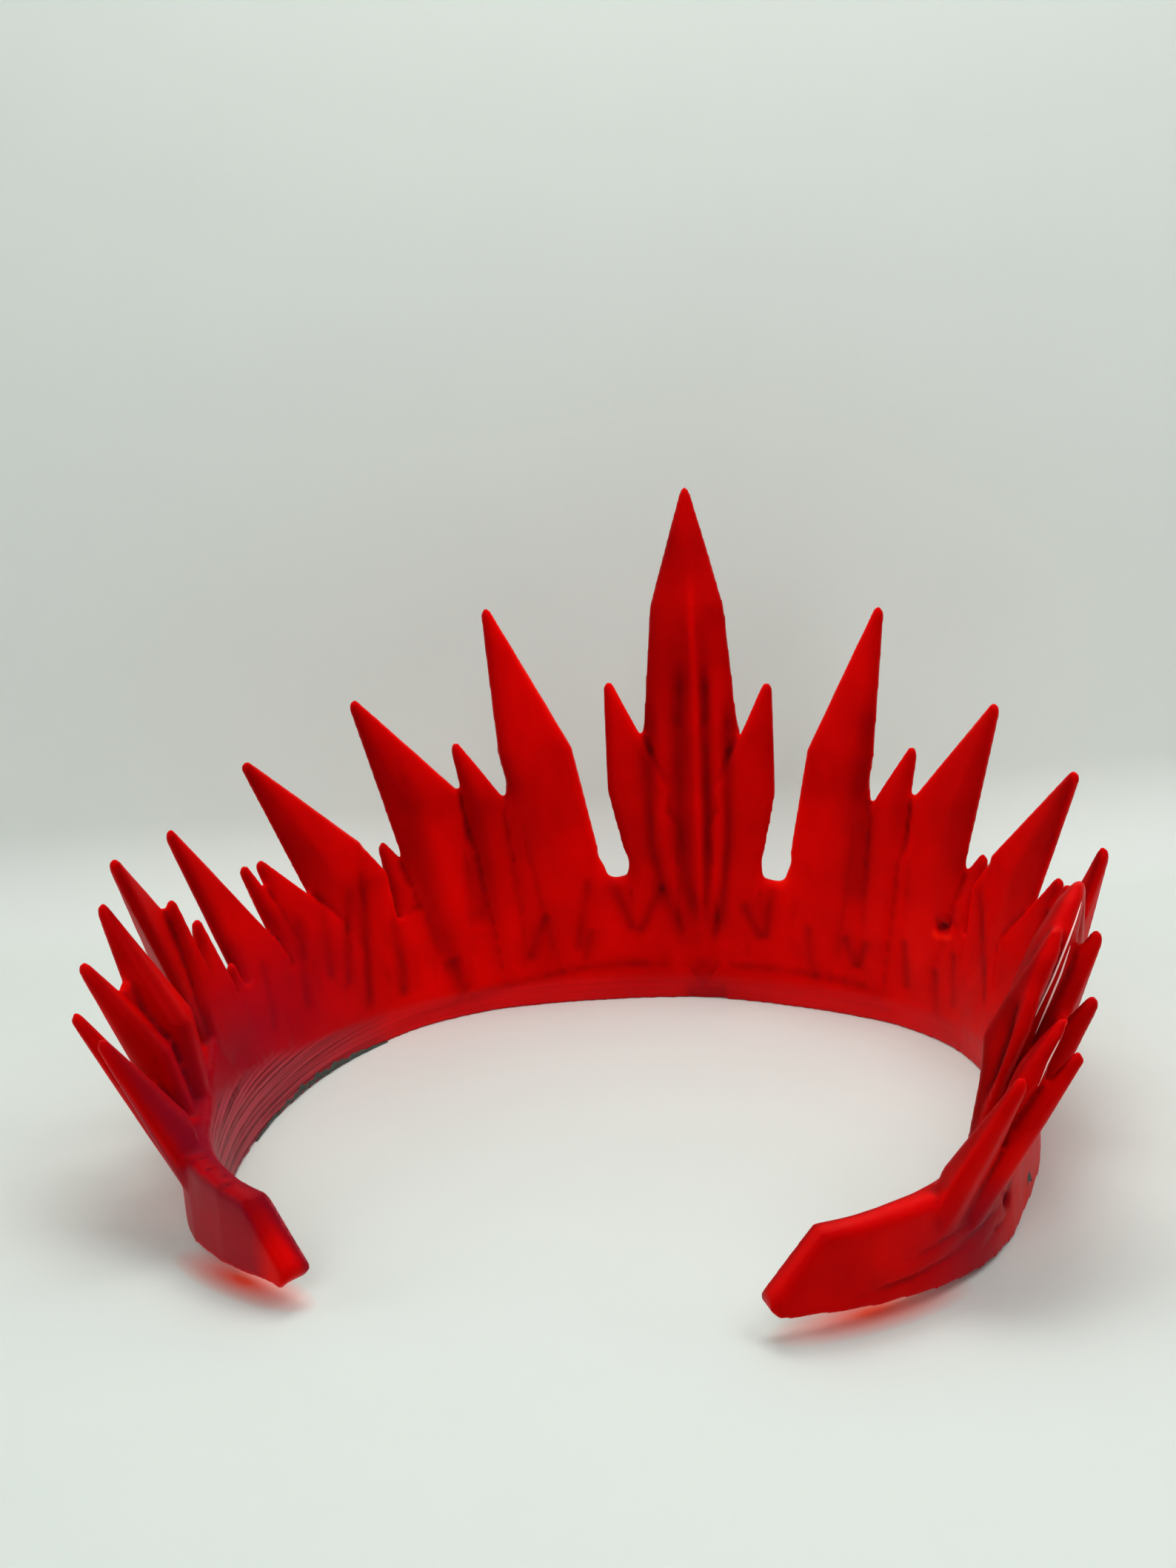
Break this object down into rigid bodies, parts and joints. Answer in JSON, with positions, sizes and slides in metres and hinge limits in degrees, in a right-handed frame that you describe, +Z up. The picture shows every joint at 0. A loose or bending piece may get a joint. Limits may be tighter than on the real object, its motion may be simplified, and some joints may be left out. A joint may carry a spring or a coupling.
{
  "type": "tiara",
  "caption": "C-shaped tiara cast in one piece, with ice-like spikes that rise to a tall centre and two flat tabs at its open back.",
  "frame": {"origin": "on the surface that the band stands on, under the middle of the outer size", "axes": "+X across the wearer's head, +Y to the front, +Z up"},
  "size_m": [0.1678, 0.1436, 0.1015],
  "materials": {
    "crown": "clear red resin, satin"
  },
  "bodies": {
    "root": {"crown": "crown"}
  },
  "joints": []
}
